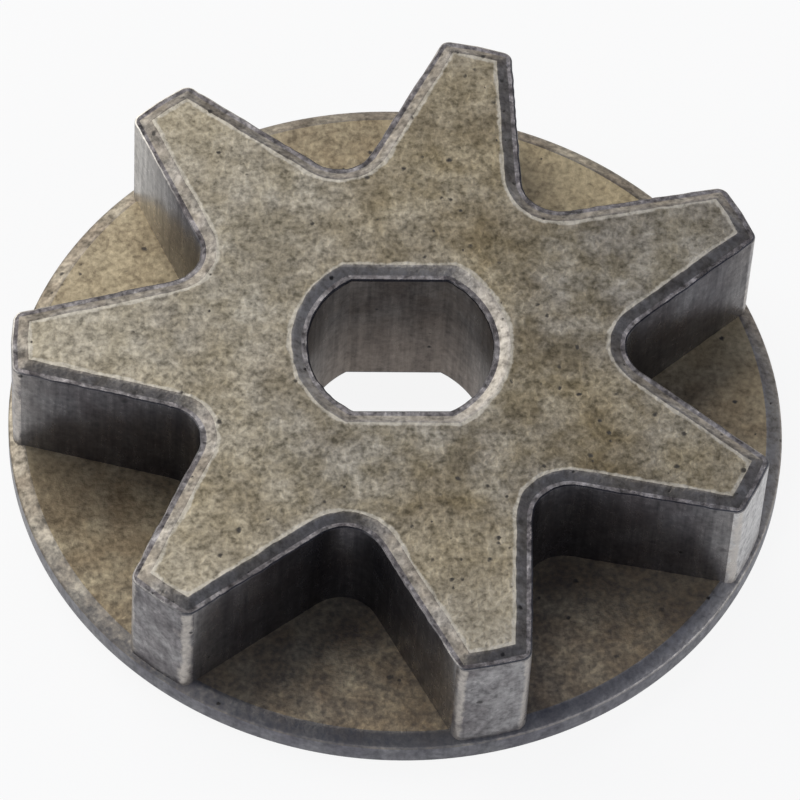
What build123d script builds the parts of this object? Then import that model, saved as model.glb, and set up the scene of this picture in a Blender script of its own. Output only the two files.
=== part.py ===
from build123d import *

import os
from math import asin, cos, degrees, radians, sin, tan

# Chainsaw drive sprocket: a spur wheel and its flange, pressed from steel powder and sintered in one piece.
# The axis is Z, the flange stands on Z = 0, and the flats of the bore run along X. Millimetres throughout.

# Chain that the wheel drives: each tooth gap takes one drive link, so a turn carries two links for each tooth.
chain_pitch = 9.525
tooth_count = 7
strap_drop = 2.6  # from the rivet line to the foot of a side strap, which rides on the tooth tips

# Teeth
overall_height = 8.2
tip_land = 3.5  # width of a tooth at its tip, before the corners are rounded
flank_angle = 14.7  # between a flank and the centre line of its tooth, in degrees
valley_radius = 1.85  # round bottom of a tooth gap
crown_corner_radius = 0.1  # tip corners, on the flat top face

# Flange
flange_thickness = 2.0
rim_margin = 0.2  # from the tooth tips out to the rim
rim_chamfer_width = 0.7
rim_chamfer_height = 0.3
rim_lower_chamfer = 0.6

# Pressed edge of the top face and of the bore's mouth: a shallow chamfer, then a flat land along the wall
edge_chamfer_width = 0.42
edge_chamfer_height = 0.2
edge_land = 0.3

# Double-D bore that fits the drive shaft
bore_diameter = 9.0
bore_across_flats = 7.7
bore_lower_chamfer = 0.2

# The rivets of the wrapped chain stand on the corners of a polygon with two sides for each tooth.
rivet_radius = chain_pitch / (2 * sin(radians(90 / tooth_count)))
tip_radius = rivet_radius - strap_drop
flange_radius = tip_radius + rim_margin
edge_width = edge_land + edge_chamfer_width
land_height = overall_height - edge_chamfer_height
tip_corner_radius = crown_corner_radius + edge_width

# A tooth gap is a V along +X. Its sides pass through the tip corners of the two teeth beside it.
half_pitch_angle = 180 / tooth_count
gap_half_angle = half_pitch_angle + flank_angle
corner_angle = half_pitch_angle - degrees(asin(tip_land / 2 / tip_radius))
corner_x = tip_radius * cos(radians(corner_angle))
corner_y = tip_radius * sin(radians(corner_angle))
gap_apex = corner_x - corner_y / tan(radians(gap_half_angle))
gap_mouth = (flange_radius - gap_apex) * tan(radians(gap_half_angle))

with BuildSketch() as tooth_gap:
    with BuildLine():
        Polyline((gap_apex, 0), (flange_radius, -gap_mouth), (flange_radius, gap_mouth), close=True)
    make_face()
    fillet(tooth_gap.vertices().sort_by(Axis.X)[0], radius=valley_radius)

with BuildSketch() as wheel_outline:
    Circle(tip_radius)
    with PolarLocations(0, tooth_count):
        add(tooth_gap.sketch, mode=Mode.SUBTRACT)
    fillet(wheel_outline.vertices().group_by(SortBy.DISTANCE)[-1], radius=tip_corner_radius)


def bore_outline(margin):
    """Round hole with two flats, wider all round by the margin."""
    Circle(bore_diameter / 2 + margin)
    Rectangle(bore_diameter + 2 * margin, bore_across_flats + 2 * margin, mode=Mode.INTERSECT)


with BuildPart() as sprocket:
    # Flange: a plain disc with its rim chamfered above and below
    with BuildSketch(Plane.XZ):
        with BuildLine():
            Polyline(
                (0, 0),
                (flange_radius - rim_lower_chamfer, 0),
                (flange_radius, rim_lower_chamfer),
                (flange_radius, flange_thickness - rim_chamfer_height),
                (flange_radius - rim_chamfer_width, flange_thickness),
                (0, flange_thickness),
                close=True,
            )
        make_face()
    revolve(axis=Axis.Z)

    # Toothed wheel: it rises out of the straight part of the rim, so the tips stand past the upper rim chamfer
    with BuildSketch(Plane.XY.offset(rim_lower_chamfer)):
        add(wheel_outline.sketch)
    extrude(amount=land_height - rim_lower_chamfer)

    # Crown: the top face stands up from the land on a chamfer that keeps one width round every tooth and gap
    with BuildSketch(Plane.XY.offset(land_height)):
        add(wheel_outline.sketch)
        offset(amount=-edge_land)
    with BuildSketch(Plane.XY.offset(overall_height)):
        add(wheel_outline.sketch)
        offset(amount=-edge_width)
    loft(ruled=True)

    # Bore with two flats, right through wheel and flange, with a lead-in at its lower mouth
    with BuildSketch():
        bore_outline(0)
    extrude(amount=overall_height, mode=Mode.SUBTRACT)
    lower_mouth = sprocket.faces().sort_by(Axis.Z)[0].inner_wires()[0]
    chamfer(lower_mouth.edges(), length=bore_lower_chamfer)

    # Upper mouth of the bore, with the land and chamfer of the crown
    with BuildSketch(Plane.XY.offset(land_height)):
        bore_outline(edge_land)
    with BuildSketch(Plane.XY.offset(overall_height)):
        bore_outline(edge_width)
    loft(ruled=True, mode=Mode.SUBTRACT)

os.makedirs("parts", exist_ok=True)
sprocket.part.label = "sprocket"
export_step(sprocket.part, "parts/sprocket.step")
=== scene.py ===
import math

import bmesh
import bpy
from mathutils import Euler, Matrix, Vector, noise


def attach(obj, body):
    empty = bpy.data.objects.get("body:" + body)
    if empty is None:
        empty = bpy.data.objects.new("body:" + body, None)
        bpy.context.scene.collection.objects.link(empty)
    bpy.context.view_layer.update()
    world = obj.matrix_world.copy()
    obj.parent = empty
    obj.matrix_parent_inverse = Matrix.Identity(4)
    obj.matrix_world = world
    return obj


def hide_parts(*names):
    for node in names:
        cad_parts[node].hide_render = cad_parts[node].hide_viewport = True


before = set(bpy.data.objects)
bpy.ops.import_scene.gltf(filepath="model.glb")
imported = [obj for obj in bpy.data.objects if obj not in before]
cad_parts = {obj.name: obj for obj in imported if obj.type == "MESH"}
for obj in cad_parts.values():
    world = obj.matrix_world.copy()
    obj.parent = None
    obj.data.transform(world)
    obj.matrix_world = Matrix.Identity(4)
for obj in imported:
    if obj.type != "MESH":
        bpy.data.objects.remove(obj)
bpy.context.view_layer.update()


# Toothed wheel: seven straight-sided teeth with round gaps, pressed from steel powder in one stroke, so its
# walls stand upright. The upper punch leaves a narrow flat land along the walls, and then a shallow chamfer
# up to the top face. It is shaped in millimetres, and its foot stands inside the flange.
teeth = 7
tip_radius = 18.8025
tip_width = 3.5
tip_rounding = 0.4
tip_rounding_steps = 6
gap_root_radius = 9.936
gap_rounding = 2.25
gap_rounding_steps = 14
flank_cuts = 23
wheel_foot = 1.0
overall_height = 8.2
land_width = 0.3
chamfer_width = 0.42
chamfer_height = 0.2
land_height = overall_height - chamfer_height
turn = math.tau / teeth
tip_turn = 2 * math.asin(tip_width / 2 / tip_radius)
spindle = {"cent": (0, 0, 0), "axis": (0, 0, 1)}
even = {"use_even_offset": True, "use_boundary": True}
round_off = {"offset_type": "OFFSET", "profile": 0.5, "material": -1}
weld = 0.001


def only(kind, parts):
    """Picks the vertices or the faces out of what an operator gives back."""
    return [part for part in parts if isinstance(part, kind)]


def rise(edge):
    """Height from one end of an edge to the other."""
    return abs(edge.verts[0].co.z - edge.verts[1].co.z)


def blank_from(shape, name):
    """Turns the faces of a bmesh outwards and makes it an object of its own in the scene."""
    bmesh.ops.recalc_face_normals(shape, faces=shape.faces)
    mesh = bpy.data.meshes.new(name)
    shape.to_mesh(mesh)
    shape.free()
    blank = bpy.data.objects.new(name, mesh)
    bpy.context.collection.objects.link(blank)
    return blank


wheel = bmesh.new()
gap_root = wheel.verts.new((gap_root_radius, 0, wheel_foot))
to_corner = Matrix.Rotation((turn - tip_turn) / 2, 3, "Z")
corner = wheel.verts.new(to_corner @ Vector((tip_radius, 0, wheel_foot)))
next_root = wheel.verts.new(Matrix.Rotation(turn, 3, "Z") @ gap_root.co)
wheel.edges.new((gap_root, corner))
tip = bmesh.ops.spin(wheel, geom=[corner], angle=tip_turn, steps=2, **spindle)
next_corner = only(bmesh.types.BMVert, tip["geom_last"])[0]
wheel.edges.new((next_corner, next_root))
tooth = wheel.verts[:] + wheel.edges[:]
bmesh.ops.spin(wheel, geom=tooth, angle=math.tau, steps=teeth, use_duplicate=True, **spindle)
bmesh.ops.remove_doubles(wheel, verts=wheel.verts, dist=weld)
bmesh.ops.contextual_create(wheel, geom=wheel.edges)

mid_flank_radius = (gap_root_radius + tip_radius) / 2
gap_roots = [v for v in wheel.verts if v.co.xy.length < mid_flank_radius]
bmesh.ops.bevel(
    wheel, geom=gap_roots, offset=gap_rounding, segments=gap_rounding_steps, affect="VERTICES", **round_off
)

bmesh.ops.recalc_face_normals(wheel, faces=wheel.faces)
raised = bmesh.ops.extrude_face_region(wheel, geom=wheel.faces[:])["geom"]
raised_verts = only(bmesh.types.BMVert, raised)
bmesh.ops.translate(wheel, verts=raised_verts, vec=(0, 0, land_height - wheel_foot))
bmesh.ops.recalc_face_normals(wheel, faces=wheel.faces)
crown = only(bmesh.types.BMFace, raised)
bmesh.ops.inset_region(wheel, faces=crown, thickness=land_width, **even)
bmesh.ops.inset_region(wheel, faces=crown, thickness=chamfer_width, depth=chamfer_height, **even)

upright_rise = 1.0
corner_zone_radius = tip_radius * 0.98
corner_bend = 0.5
tip_corners = [
    e for e in wheel.edges
    if rise(e) > upright_rise
    and e.verts[0].co.xy.length > corner_zone_radius
    and e.calc_face_angle() > corner_bend
]
bmesh.ops.bevel(
    wheel, geom=tip_corners, offset=tip_rounding, segments=tip_rounding_steps, affect="EDGES", **round_off
)
shortest_flank = 2.0
flanks = [e for e in wheel.edges if e.calc_length() > shortest_flank and rise(e) < weld]
bmesh.ops.subdivide_edges(wheel, edges=flanks, cuts=flank_cuts, use_grid_fill=True)
sprocket = blank_from(wheel, "toothed_sprocket")


def node(tree, kind, sockets=(), **settings):
    """Adds a node. A socket given another node's output is linked to it; any other value is set on it."""
    made = tree.nodes.new(kind)
    for setting, value in settings.items():
        setattr(made, setting, value)
    for socket, value in dict(sockets).items():
        if isinstance(value, bpy.types.NodeSocket):
            tree.links.new(value, made.inputs[socket])
        else:
            made.inputs[socket].default_value = value
    return made


def place_on(tree):
    """Place of a point on its piece, in metres."""
    return node(tree, "ShaderNodeTexCoord").outputs["Object"]


def stretch(tree, value, low, high):
    """Spreads the part of a value between low and high over 0 to 1."""
    spread = node(tree, "ShaderNodeMapRange", {"Value": value, "From Min": low, "From Max": high})
    return spread.outputs["Result"]


def between(tree, value, first, last):
    """Turns a value of 0 to 1 into one of first to last."""
    spread = node(tree, "ShaderNodeMapRange", {"Value": value, "To Min": first, "To Max": last})
    return spread.outputs["Result"]


def maths(tree, operation, *values):
    """Result of a sum with numbers."""
    return node(tree, "ShaderNodeMath", dict(enumerate(values)), operation=operation).outputs["Value"]


def vector_maths(tree, operation, *values):
    """Results of a sum with vectors: one called Vector, and one called Value."""
    return node(tree, "ShaderNodeVectorMath", dict(enumerate(values)), operation=operation).outputs


def speckle(tree, place, scale, **detail):
    """Noise texture, whose values lie about 0.5."""
    sockets = {"Vector": place, "Scale": scale} | {socket.title(): value for socket, value in detail.items()}
    return node(tree, "ShaderNodeTexNoise", sockets)


def mix_value(tree, factor, first, second):
    """Number between two others."""
    return node(tree, "ShaderNodeMix", {0: factor, 2: first, 3: second}).outputs[0]


def mix_colour(tree, factor, first, second, blend="MIX"):
    """Colour between two others, or with the second laid over the first by another blend."""
    mixed = node(tree, "ShaderNodeMix", {0: factor, 6: first, 7: second}, data_type="RGBA", blend_type=blend)
    return mixed.outputs[2]


def group(name, inputs, outputs):
    """Starts a shader node group with named number sockets, and gives it back with its two ends."""
    tree = bpy.data.node_groups.new(name, "ShaderNodeTree")
    for socket, value in inputs.items():
        made = tree.interface.new_socket(socket, in_out="INPUT", socket_type="NodeSocketFloat")
        made.default_value = value
    for socket in outputs:
        tree.interface.new_socket(socket, in_out="OUTPUT", socket_type="NodeSocketFloat")
    return tree, node(tree, "NodeGroupInput").outputs, node(tree, "NodeGroupOutput").inputs


# Grain of the pressed powder: fine specks and coarser clots, with hues and patches over them, and open pits
# in crowds
clot_share = 0.36
hue_share = 0.2
broad_scale = 95.0
pit_raggedness = 0.00025
largest_pit = 0.42
smallest_pit = 0.15
pit_depth = 0.35
grain, given, wanted = group(
    "sintered_grain",
    {"Grain Scale": 3400.0, "Patch Scale": 330.0, "Pit Scale": 2200.0, "Pit Share": 0.08},
    ("Tone", "Tint", "Patches", "Warmth", "Pits", "Height"),
)
place = place_on(grain)
clot_scale = maths(grain, "MULTIPLY", given["Grain Scale"], clot_share)
hue_scale = maths(grain, "MULTIPLY", given["Grain Scale"], hue_share)
fine = speckle(grain, place, given["Grain Scale"], detail=4.0, roughness=0.6)
clots = speckle(grain, place, clot_scale, detail=4.0, roughness=0.6, distortion=0.6)
hue = speckle(grain, place, hue_scale, detail=3.0)
patch = speckle(grain, place, given["Patch Scale"], detail=5.0, roughness=0.6)
broad = speckle(grain, place, broad_scale, detail=3.0)
pit_shift = vector_maths(grain, "MULTIPLY", fine.outputs["Color"], (pit_raggedness,) * 3)["Vector"]
ragged = vector_maths(grain, "ADD", place, pit_shift)["Vector"]
cells = node(grain, "ShaderNodeTexVoronoi", {"Vector": ragged, "Scale": given["Pit Scale"]})
chance = node(grain, "ShaderNodeSeparateColor", {"Color": cells.outputs["Color"]}).outputs["Red"]
crowd = maths(grain, "MULTIPLY", given["Pit Share"], stretch(grain, broad.outputs["Fac"], 0.38, 0.66))
picked = maths(grain, "LESS_THAN", chance, crowd)
pit_edge = between(grain, maths(grain, "DIVIDE", chance, crowd), largest_pit, smallest_pit)
pit_floor = maths(grain, "MULTIPLY", pit_edge, 0.5)
pits = maths(grain, "MULTIPLY", picked, stretch(grain, cells.outputs["Distance"], pit_edge, pit_floor))
mingled = mix_value(grain, 0.4, fine.outputs["Fac"], clots.outputs["Fac"])
height = maths(grain, "MULTIPLY_ADD", pits, -pit_depth, fine.outputs["Fac"])
grain.links.new(stretch(grain, mingled, 0.36, 0.64), wanted["Tone"])
grain.links.new(stretch(grain, hue.outputs["Fac"], 0.38, 0.62), wanted["Tint"])
grain.links.new(stretch(grain, patch.outputs["Fac"], 0.36, 0.64), wanted["Patches"])
grain.links.new(stretch(grain, broad.outputs["Fac"], 0.4, 0.62), wanted["Warmth"])
grain.links.new(pits, wanted["Pits"])
grain.links.new(height, wanted["Height"])

# Upright streaks that the die draws on a wall as the pressing is pushed out
streak_stretch = (1.0, 1.0, 0.07)
streaks, given, wanted = group("die_streaks", {"Streak Scale": 3000.0}, ("Streak",))
drawn_out = node(streaks, "ShaderNodeMapping", {"Vector": place_on(streaks), "Scale": streak_stretch})
lines = speckle(streaks, drawn_out.outputs["Vector"], given["Streak Scale"], detail=4.0, roughness=0.6)
streaks.links.new(stretch(streaks, lines.outputs["Fac"], 0.32, 0.68), wanted["Streak"])


def rub_group(name, attribute, scale):
    """Group whose mask follows a wear attribute of the mesh, broken up by the grain."""
    tree, given, wanted = group(name, {"Reach": 0.5, "Scale": scale}, ("Mask",))
    amount = node(tree, "ShaderNodeAttribute", attribute_name=attribute).outputs["Fac"]
    broken = speckle(tree, place_on(tree), given["Scale"], detail=6.0, roughness=0.7).outputs["Fac"]
    reached = maths(tree, "ADD", amount, given["Reach"])
    ragged = stretch(tree, maths(tree, "MULTIPLY_ADD", broken, 2.0, reached), 1.7, 2.0)
    mask = maths(tree, "MULTIPLY", ragged, stretch(tree, amount, 0.02, 0.25))
    tree.links.new(mask, wanted["Mask"])
    return tree


edge_rub = rub_group("edge_rub", "rub", 600.0)
corner_rub = rub_group("corner_rub", "corner", 700.0)


def outward(start, end):
    """Gives a mask that grows with the distance from the axis, from start to end in metres."""
    def mask(tree):
        across = vector_maths(tree, "MULTIPLY", place_on(tree), (1.0, 1.0, 0.0))["Vector"]
        return stretch(tree, vector_maths(tree, "LENGTH", across)["Value"], start, end)
    return mask


def along(direction, start, end):
    """Gives a mask that grows along one direction, from start to end in metres."""
    def mask(tree):
        reach = vector_maths(tree, "DOT_PRODUCT", place_on(tree), direction)["Value"]
        return stretch(tree, reach, start, end)
    return mask


rub_in_hollows = 0.35
hollow_roughness = 0.1
high_spot_polish = 0.06
grain_depth = 0.00003


def sintered_steel(
    name, dark, light, tint, stain, pit, roughness, metallic=0.85, bump=0.4, drawn=0.0, warm=None, wear_and_painted_light=(),
    rubs=(), **scales,
):
    """Steel with a grain from dark to light, tinted and stained in patches, with open pits.
    Each entry of the wear and painted light list is a mask, a colour, and the share of it in the hollows and
    on the high spots of the grain; some entries are real wear, the others painted light and painted shade.
    Each of rubs is a group that follows worn edges, how far it reaches, and a colour."""
    material = bpy.data.materials.new(name)
    material.use_nodes = True
    tree = material.node_tree
    tree.nodes.clear()
    texture = node(tree, "ShaderNodeGroup", node_tree=grain)
    for socket, value in scales.items():
        texture.inputs[socket.replace("_", " ").title()].default_value = value
    tone = texture.outputs["Tone"]
    if drawn:
        marks = node(tree, "ShaderNodeGroup", node_tree=streaks)
        tone = mix_value(tree, drawn, tone, marks.outputs["Streak"])
    colour = mix_colour(tree, tone, (*dark, 1), (*light, 1))
    colour = mix_colour(tree, texture.outputs["Tint"], colour, (*tint, 1), "MULTIPLY")
    colour = mix_colour(tree, texture.outputs["Patches"], colour, (*stain, 1), "MULTIPLY")
    if warm:
        colour = mix_colour(tree, texture.outputs["Warmth"], colour, (*warm, 1), "MULTIPLY")
    # Real wear and painted light and shade alike are laid over the colour here, each through its own mask.
    for mask, shade, in_hollows, on_high_spots in wear_and_painted_light:
        shown = maths(tree, "MULTIPLY", mask(tree), between(tree, tone, in_hollows, on_high_spots))
        colour = mix_colour(tree, shown, colour, (*shade, 1))
    for rub_tree, reach, bright in rubs:
        rubbed = node(tree, "ShaderNodeGroup", {"Reach": reach}, node_tree=rub_tree)
        shown = maths(tree, "MULTIPLY", rubbed.outputs["Mask"], between(tree, tone, rub_in_hollows, 1.0))
        colour = mix_colour(tree, shown, colour, (*bright, 1))
    colour = mix_colour(tree, texture.outputs["Pits"], colour, (*pit, 1))
    relief = node(tree, "ShaderNodeBump", {
        "Height": texture.outputs["Height"], "Strength": bump, "Distance": grain_depth,
    })
    surface = node(tree, "ShaderNodeBsdfPrincipled", {
        "Base Color": colour,
        "Roughness": between(tree, tone, roughness + hollow_roughness, roughness - high_spot_polish),
        "Metallic": metallic,
        "Normal": relief.outputs["Normal"],
    })
    node(tree, "ShaderNodeOutputMaterial", {"Surface": surface.outputs["BSDF"]})
    return material


cream = (0.6, 0.557, 0.468)
top_face = sintered_steel(
    "top_face",
    dark=(0.16, 0.146, 0.114),
    light=(0.54, 0.494, 0.408),
    tint=(0.74, 0.705, 0.61),
    stain=(0.68, 0.67, 0.68),
    pit=(0.07, 0.063, 0.053),
    roughness=0.42,
    bump=0.8,
    warm=(1.0, 0.92, 0.74),
    pit_share=0.22,
    wear_and_painted_light=[
        # Painted light: the top face is made lighter towards its left side, where the light falls on it.
        (along((-0.97, 0.24, 0.0), -0.004, 0.016), (0.62, 0.562, 0.428), 0.12, 0.45),
        (outward(0.012, 0.0185), (0.6, 0.55, 0.44), 0.05, 0.28),
        (along((0.1, -0.995, 0.0), 0.009, 0.018), (0.62, 0.57, 0.47), 0.15, 0.5),
    ],
    rubs=[(edge_rub, 0.38, cream)],
)
pressed_chamfer = sintered_steel(
    "pressed_chamfer",
    dark=(0.14, 0.131, 0.118),
    light=(0.45, 0.42, 0.375),
    tint=(0.78, 0.75, 0.7),
    stain=(0.7, 0.68, 0.68),
    pit=(0.05, 0.046, 0.042),
    roughness=0.4,
    bump=1.0,
    patch_scale=900.0,
    pit_share=0.25,
    wear_and_painted_light=[(outward(0.0075, 0.0055), (0.55, 0.515, 0.465), 0.12, 0.5)],
)
edge_land = sintered_steel(
    "edge_land",
    dark=(0.1, 0.094, 0.093),
    light=(0.56, 0.528, 0.517),
    tint=(0.7, 0.68, 0.68),
    stain=(0.4, 0.385, 0.39),
    pit=(0.04, 0.038, 0.038),
    roughness=0.42,
    bump=1.0,
    patch_scale=1000.0,
)
tooth_wall = sintered_steel(
    "tooth_wall",
    dark=(0.06, 0.059, 0.063),
    light=(0.21, 0.203, 0.205),
    tint=(0.85, 0.82, 0.82),
    stain=(0.78, 0.75, 0.75),
    pit=(0.04, 0.04, 0.04),
    roughness=0.28,
    bump=0.3,
    drawn=0.5,
    pit_share=0.04,
    wear_and_painted_light=[
        # Painted reflection: the walls are made lighter towards the tooth tips.
        (outward(0.0165, 0.0192), (0.6, 0.575, 0.53), 0.1, 0.6),
        # Painted light: the walls are made lighter on the back-left side of the sprocket.
        (along((-0.77, 0.64, 0.0), 0.0135, 0.018), (0.78, 0.745, 0.675), 0.3, 0.95),
        # Painted shade: the walls are made nearly black near the roots of the gaps.
        (outward(0.015, 0.0115), (0.025, 0.024, 0.028), 0.8, 0.4),
    ],
)
tooth_tip = sintered_steel(
    "tooth_tip",
    dark=(0.15, 0.145, 0.145),
    light=(0.52, 0.502, 0.488),
    tint=(0.7, 0.68, 0.69),
    stain=(0.6, 0.58, 0.595),
    pit=(0.08, 0.076, 0.074),
    roughness=0.3,
    bump=0.6,
    drawn=0.2,
    patch_scale=1000.0,
    pit_share=0.06,
    # Painted light: the tips are made lighter towards the front right, as the lit floor beside them would
    # show in them.
    wear_and_painted_light=[(along((0.9, -0.436, 0.0), 0.0105, 0.0185), (0.94, 0.92, 0.87), 0.25, 1.0)],
    rubs=[(corner_rub, 0.2, (0.66, 0.605, 0.53))],
)


# Flange: the round plate under the teeth, which guides the chain. It is pressed in one piece with the wheel,
# from the same powder. Both sides are flat, and the rim is chamfered, above by the die and below for
# clearance.
flange_radius = 19.002
flange_thickness = 2.0
flange_segments = 240
rim_chamfer_width = 0.7
rim_chamfer_height = 0.3
rim_lower_chamfer = 0.6

flange = bmesh.new()
rim_points = [
    (0, 0, 0),
    (flange_radius - rim_lower_chamfer, 0, 0),
    (flange_radius, 0, rim_lower_chamfer),
    (flange_radius, 0, flange_thickness - rim_chamfer_height),
    (flange_radius - rim_chamfer_width, 0, flange_thickness),
    (0, 0, flange_thickness),
]
profile = [flange.verts.new(point) for point in rim_points]
profile += [flange.edges.new(pair) for pair in zip(profile, profile[1:])]
bmesh.ops.spin(flange, geom=profile, angle=math.tau, steps=flange_segments, use_merge=True, **spindle)
bmesh.ops.remove_doubles(flange, verts=flange.verts, dist=weld)
flange_plate = blank_from(flange, "flange_plate")

flange_face = sintered_steel(
    "flange_face",
    dark=(0.22, 0.178, 0.11),
    light=(0.58, 0.484, 0.313),
    tint=(0.82, 0.77, 0.71),
    stain=(0.72, 0.69, 0.69),
    pit=(0.08, 0.068, 0.055),
    roughness=0.44,
    metallic=0.5,
    bump=1.0,
    warm=(0.93, 0.9, 0.87),
    pit_share=0.12,
    wear_and_painted_light=[
        # Painted light: the flange is made lighter and more golden on the back-left side.
        (along((-0.8, 0.6, 0.0), 0.009, 0.019), (0.68, 0.582, 0.39), 0.2, 0.7),
        # Painted light: the flange is made lighter and more golden on the back-right side.
        (along((0.7, 0.714, 0.0), 0.0105, 0.0165), (0.7, 0.575, 0.34), 0.25, 0.75),
        # Painted shade: the flange is made darker near the feet of the tooth gaps.
        (outward(0.0135, 0.0105), (0.1, 0.085, 0.065), 0.7, 0.3),
        # Painted shade: the flange is made darker and bluer towards the front.
        (along((0.3, -0.954, 0.0), 0.003, 0.012), (0.1, 0.098, 0.112), 0.38, 0.12),
    ],
)
rim_chamfer = sintered_steel(
    "rim_chamfer",
    dark=(0.15, 0.135, 0.105),
    light=(0.48, 0.435, 0.35),
    tint=(0.84, 0.81, 0.78),
    stain=(0.72, 0.69, 0.7),
    pit=(0.05, 0.045, 0.04),
    roughness=0.4,
    bump=0.8,
    wear_and_painted_light=[
        # Painted shade: the rim chamfer is made darker and bluer towards the front.
        (along((0.0, -1.0, 0.0), 0.004, 0.015), (0.14, 0.146, 0.165), 0.6, 0.3),
        # Painted light: the rim chamfer is made lighter towards the front right.
        (along((0.9, -0.436, 0.0), 0.011, 0.018), (0.54, 0.52, 0.5), 0.15, 0.6),
    ],
)
rim_wall = sintered_steel(
    "rim_wall",
    dark=(0.12, 0.12, 0.127),
    light=(0.34, 0.335, 0.34),
    tint=(0.85, 0.84, 0.86),
    stain=(0.75, 0.74, 0.8),
    pit=(0.05, 0.05, 0.05),
    roughness=0.32,
    bump=0.4,
    drawn=0.3,
)
underside = sintered_steel(
    "underside",
    dark=(0.18, 0.16, 0.122),
    light=(0.46, 0.415, 0.33),
    tint=(0.8, 0.76, 0.68),
    stain=(0.7, 0.68, 0.7),
    pit=(0.06, 0.054, 0.046),
    roughness=0.44,
    bump=0.8,
)


# Bore: a round hole with two flats for the drive shaft, left by a core in the press. Its upper mouth has the
# land and chamfer of the top face, and its lower mouth a small lead-in. Wheel and flange are joined, and the
# core is cut out of both.
bore_radius = 4.5
bore_half_flats = 3.85
bore_segments = 144
bore_lead_in = 0.2
overrun = 0.2
mouth_slope = chamfer_width / chamfer_height
core_levels = [
    (-overrun, overrun + bore_lead_in),
    (bore_lead_in, 0),
    (land_height, 0),
    (land_height, land_width),
    (overall_height + overrun, land_width + (chamfer_height + overrun) * mouth_slope),
]

core = bmesh.new()
bmesh.ops.create_circle(core, cap_ends=True, segments=bore_segments, radius=bore_radius)
for side in (1, -1):
    outline = core.verts[:] + core.edges[:] + core.faces[:]
    flat = Vector((0, side * bore_half_flats, 0))
    bmesh.ops.bisect_plane(core, geom=outline, plane_co=flat, plane_no=(0, side, 0), clear_outer=True)
end = core.faces[:]
level, margin = 0, 0
for next_level, next_margin in core_levels:
    ring = end[0].verts[:]
    grow_x = (bore_radius + next_margin) / (bore_radius + margin)
    grow_y = (bore_half_flats + next_margin) / (bore_half_flats + margin)
    bmesh.ops.translate(core, verts=ring, vec=(0, 0, next_level - level))
    bmesh.ops.scale(core, verts=ring, vec=(grow_x, grow_y, 1))
    level, margin = next_level, next_margin
    if next_level < overall_height:
        end = only(bmesh.types.BMFace, bmesh.ops.extrude_face_region(core, geom=end)["geom"])
inner_caps = [f for f in core.faces if all(len(e.link_faces) > 2 for e in f.edges)]
bmesh.ops.delete(core, geom=inner_caps, context="FACES_ONLY")
bore_core = blank_from(core, "bore_core")

for tool, operation in ((flange_plate, "UNION"), (bore_core, "DIFFERENCE")):
    step = sprocket.modifiers.new(tool.name, "BOOLEAN")
    step.object = tool
    step.operation = operation
    step.solver = "EXACT"
pressed = bpy.data.meshes.new_from_object(sprocket.evaluated_get(bpy.context.evaluated_depsgraph_get()))
sprocket.modifiers.clear()
for tool in (flange_plate, bore_core):
    bpy.data.objects.remove(tool)

cut_weld = 0.002
skin = bmesh.new()
skin.from_mesh(pressed)
bpy.data.meshes.remove(pressed)
bmesh.ops.remove_doubles(skin, verts=skin.verts, dist=cut_weld)

bore_wall = sintered_steel(
    "bore_wall",
    dark=(0.06, 0.053, 0.051),
    light=(0.22, 0.2, 0.185),
    tint=(0.8, 0.75, 0.71),
    stain=(0.66, 0.62, 0.61),
    pit=(0.03, 0.03, 0.03),
    roughness=0.3,
    bump=0.5,
    drawn=0.5,
    patch_scale=420.0,
    pit_share=0.04,
    wear_and_painted_light=[(along((0.0, 0.0, 1.0), 0.0055, 0.0015), (0.48, 0.41, 0.355), 0.25, 0.9)],
)


# Handling wear: tumbling and use rub the edges of top face, lands, rim and bore a little round, and bright
# where the grain stands high. The attributes rub and corner hold how far a point is worn, along the edges
# and at the tip corners. The finished skin then takes the place of the plain solid.
rub_width = 0.09
rub_waver = 0.04
fine_waver = 2.3
broad_waver = 0.7
waver_seed = 7
rub_reach = 0.4
corner_inset = 0.12
corner_reach = 0.5
edge_bend = 0.15
crease_bend = 0.6
level_slack = 0.02
level_normal = 0.97
slope_normal = 0.3
finish_slack = 0.1
tip_zone_radius = tip_radius * 0.97
tip_look = 0.4
steels = [
    top_face, pressed_chamfer, edge_land, tooth_wall, tooth_tip,
    flange_face, rim_chamfer, rim_wall, bore_wall, underside,
]


def finish_of(face):
    """Gives the finish of a face, from where it lies on the sprocket and which way it looks."""
    middle = face.calc_center_median()
    radius = middle.xy.length
    if face.normal.z < -slope_normal:
        return underside
    if face.normal.z > level_normal:
        if middle.z > land_height + finish_slack:
            return top_face
        return edge_land if middle.z > land_height - finish_slack else flange_face
    if face.normal.z > slope_normal:
        return pressed_chamfer if middle.z > flange_thickness else rim_chamfer
    if radius < bore_radius + finish_slack:
        return bore_wall
    if middle.z < flange_thickness and radius > tip_radius:
        return rim_wall
    looks_out = face.normal.xy.normalized().dot(middle.xy.normalized())
    return tooth_tip if radius > tip_zone_radius and looks_out > tip_look else tooth_wall


def rubbed_finish_of(face):
    """Gives the finish of a strip that is rubbed round, from the edge on which it lies."""
    middle = face.calc_center_median()
    if middle.z > land_height + finish_slack / 2:
        return pressed_chamfer
    if middle.z > flange_thickness:
        return tooth_wall
    return rim_wall if middle.z < flange_thickness / 2 else rim_chamfer


skin.normal_update()
rub = skin.verts.layers.float.new("rub")
tip_corner = skin.verts.layers.float.new("corner")
crown = [
    f for f in skin.faces if f.normal.z > level_normal and f.calc_center_median().z > overall_height - weld
]
bmesh.ops.inset_region(skin, faces=crown, thickness=rub_reach, **even)
bmesh.ops.delete(skin, geom=crown, context="FACES")
open_edges = [e for e in skin.edges if e.is_boundary]
bmesh.ops.triangle_fill(skin, edges=open_edges, use_beauty=True, normal=(0, 0, 1))
skin.normal_update()
for face in skin.faces:
    face.material_index = steels.index(finish_of(face))

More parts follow.
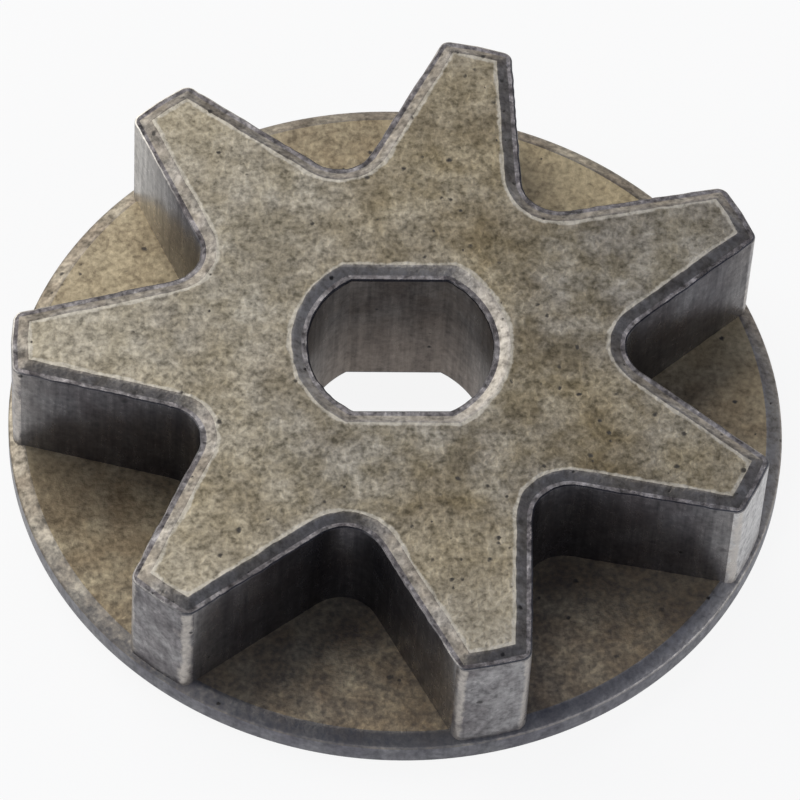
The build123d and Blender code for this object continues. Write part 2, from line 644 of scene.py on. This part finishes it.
outer_edges = [
    e for e in skin.edges if e.is_convex and e.calc_face_angle() > edge_bend and rise(e) < level_slack
]
rubbed = bmesh.ops.bevel(
    skin, geom=outer_edges, offset=rub_width, segments=2, affect="EDGES", clamp_overlap=False, **round_off
)
for face in rubbed["faces"]:
    face.material_index = steels.index(rubbed_finish_of(face))
noise.seed_set(waver_seed)
for vert in rubbed["verts"]:
    waver = noise.noise_vector(vert.co * fine_waver) + noise.noise_vector(vert.co * broad_waver)
    if vert.co.z > flange_thickness:
        vert.co.xy += waver.xy * rub_waver
        vert[rub] = 1.0
bmesh.ops.dissolve_degenerate(skin, edges=skin.edges, dist=cut_weld)
for vert in skin.verts:
    off_middle = abs((math.atan2(vert.co.y, vert.co.x) % turn) - turn / 2)
    aside = vert.co.xy.length * math.sin(off_middle)
    if vert.co.xy.length > tip_radius - tip_rounding:
        from_corner = abs(aside - tip_width / 2 + corner_inset)
        vert[tip_corner] = max(0.0, 1 - from_corner / corner_reach)
for face in skin.faces:
    face.smooth = True
for edge in skin.edges:
    one_finish = len({f.material_index for f in edge.link_faces}) == 1
    edge.smooth = one_finish and edge.calc_face_angle(0) < crease_bend
skin.to_mesh(sprocket.data)
skin.free()
sprocket.data.transform(Matrix.Scale(0.001, 4))

for steel in steels:
    sprocket.data.materials.append(steel)
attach(sprocket, "root")
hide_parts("sprocket")


# Floor: a plain white table top that reaches past the picture. It looks white, the metal mirrors it more
# dimly, and it keeps the sprocket's soft shadow. From below it lets the view through.
floor_half = 3
seen_white = 0.9
mirrored_white = 0.4

floor_shape = bmesh.new()
bmesh.ops.create_grid(floor_shape, x_segments=1, y_segments=1, size=floor_half)
floor = blank_from(floor_shape, "floor")
white_top = bpy.data.materials.new("white_table_top")
white_top.use_nodes = True
tree = white_top.node_tree
tree.nodes.clear()
rays = node(tree, "ShaderNodeLightPath").outputs
seen = maths(tree, "MAXIMUM", rays["Is Camera Ray"], rays["Is Transmission Ray"])
seen_share = maths(tree, "MULTIPLY", seen, seen_white)
mirrored_share = maths(tree, "MULTIPLY", rays["Is Glossy Ray"], mirrored_white)
share = maths(tree, "MAXIMUM", seen_share, mirrored_share)
matt = node(tree, "ShaderNodeBsdfDiffuse", {"Color": (0.8, 0.8, 0.8, 1)}).outputs["BSDF"]
glow = node(tree, "ShaderNodeEmission", {"Color": (1, 1, 1, 1), "Strength": 1.0}).outputs["Emission"]
white = node(tree, "ShaderNodeMixShader", {0: share, 1: matt, 2: glow}).outputs["Shader"]
back = node(tree, "ShaderNodeNewGeometry").outputs["Backfacing"]
clear = node(tree, "ShaderNodeBsdfTransparent").outputs["BSDF"]
sheet = node(tree, "ShaderNodeMixShader", {0: back, 1: white, 2: clear}).outputs["Shader"]
node(tree, "ShaderNodeOutputMaterial", {"Surface": sheet})
floor.data.materials.append(white_top)


# Studio: a broad soft light behind the sprocket to its left, as from a window, and a cooler one low on its
# right. The room about them is bright along the far horizon and dim above it, dark on the right and
# overhead, and bluish grey in front.
def soft_light(name, azimuth, elevation, distance, size, radiance, colour):
    """Hangs a square soft light that looks at the sprocket from the given direction."""
    lamp = bpy.data.lights.new(name, "AREA")
    lamp.shape = "SQUARE"
    lamp.size = size
    lamp.energy = radiance * math.pi * size * size
    lamp.color = colour
    light = bpy.data.objects.new(name, lamp)
    bpy.context.collection.objects.link(light)
    turned = Euler((math.radians(90 - elevation), 0, math.radians(90 + azimuth))).to_matrix().to_4x4()
    light.matrix_world = turned @ Matrix.Translation((0, 0, distance))


soft_light(
    "window", azimuth=136, elevation=42, distance=0.3, size=0.34, radiance=1.85, colour=(1.0, 0.97, 0.9),
)
soft_light(
    "right_card", azimuth=-14, elevation=8, distance=0.45, size=0.3, radiance=1.2, colour=(0.97, 0.98, 1.0),
)

bright_horizon = (1.7, 1.6, 1.42, 1)
dim_wall = (0.2, 0.23, 0.33, 1)
dark_right = (0.12, 0.135, 0.19, 1)
grey_front = (0.46, 0.51, 0.64, 1)
pale_front = (0.7, 0.71, 0.8, 1)
dark_overhead = (0.035, 0.05, 0.1, 1)
pale_front_direction = (0.35, -0.937, 0.0)
overhead_direction = (0.17, -0.2, 0.965)

room = bpy.data.worlds.new("room")
bpy.context.scene.world = room
room.use_nodes = True
tree = room.node_tree
look = node(tree, "ShaderNodeTexCoord").outputs["Generated"]
around = node(tree, "ShaderNodeSeparateXYZ", {"Vector": look}).outputs
light = mix_colour(tree, stretch(tree, around["Z"], 0.1, 0.5), bright_horizon, dim_wall)
to_right = stretch(tree, around["X"], 0.3, 0.6)
off_table = stretch(tree, around["Z"], -0.1, 0.25)
light = mix_colour(tree, maths(tree, "MULTIPLY", to_right, off_table), light, dark_right)
light = mix_colour(tree, stretch(tree, around["Y"], 0.3, -0.6), light, grey_front)
ahead = stretch(tree, vector_maths(tree, "DOT_PRODUCT", look, pale_front_direction)["Value"], 0.0, 0.8)
low = stretch(tree, around["Z"], 0.75, 0.3)
light = mix_colour(tree, maths(tree, "MULTIPLY", ahead, low), light, pale_front)
overhead = stretch(tree, vector_maths(tree, "DOT_PRODUCT", look, overhead_direction)["Value"], 0.78, 0.95)
light = mix_colour(tree, overhead, light, dark_overhead)
tree.links.new(light, tree.nodes["Background"].inputs["Color"])


# Camera: a long lens above the front of the sprocket, turned and tilted a little, as for the photograph. It
# turns about a point half way up the bore, and the shift sets its distance and the middle of the picture.
azimuth = math.radians(-4.122)
elevation = math.radians(55.15)
roll = math.radians(3.771)
aim_point = (0, 0, 0.0042)
shift = (0.00010854, -0.00047789, 0.32272)

lens = bpy.data.cameras.new("camera")
lens.sensor_width = 36
lens.lens = 297.63
lens.clip_start = 0.01
lens.clip_end = 20
camera = bpy.data.objects.new("camera", lens)
bpy.context.collection.objects.link(camera)
aim = Euler((math.pi / 2 - elevation, 0, azimuth)).to_matrix().to_4x4() @ Matrix.Rotation(roll, 4, "Z")
camera.matrix_world = Matrix.Translation(aim_point) @ aim @ Matrix.Translation(shift)
bpy.context.scene.camera = camera
bpy.context.scene.view_settings.view_transform = "Standard"
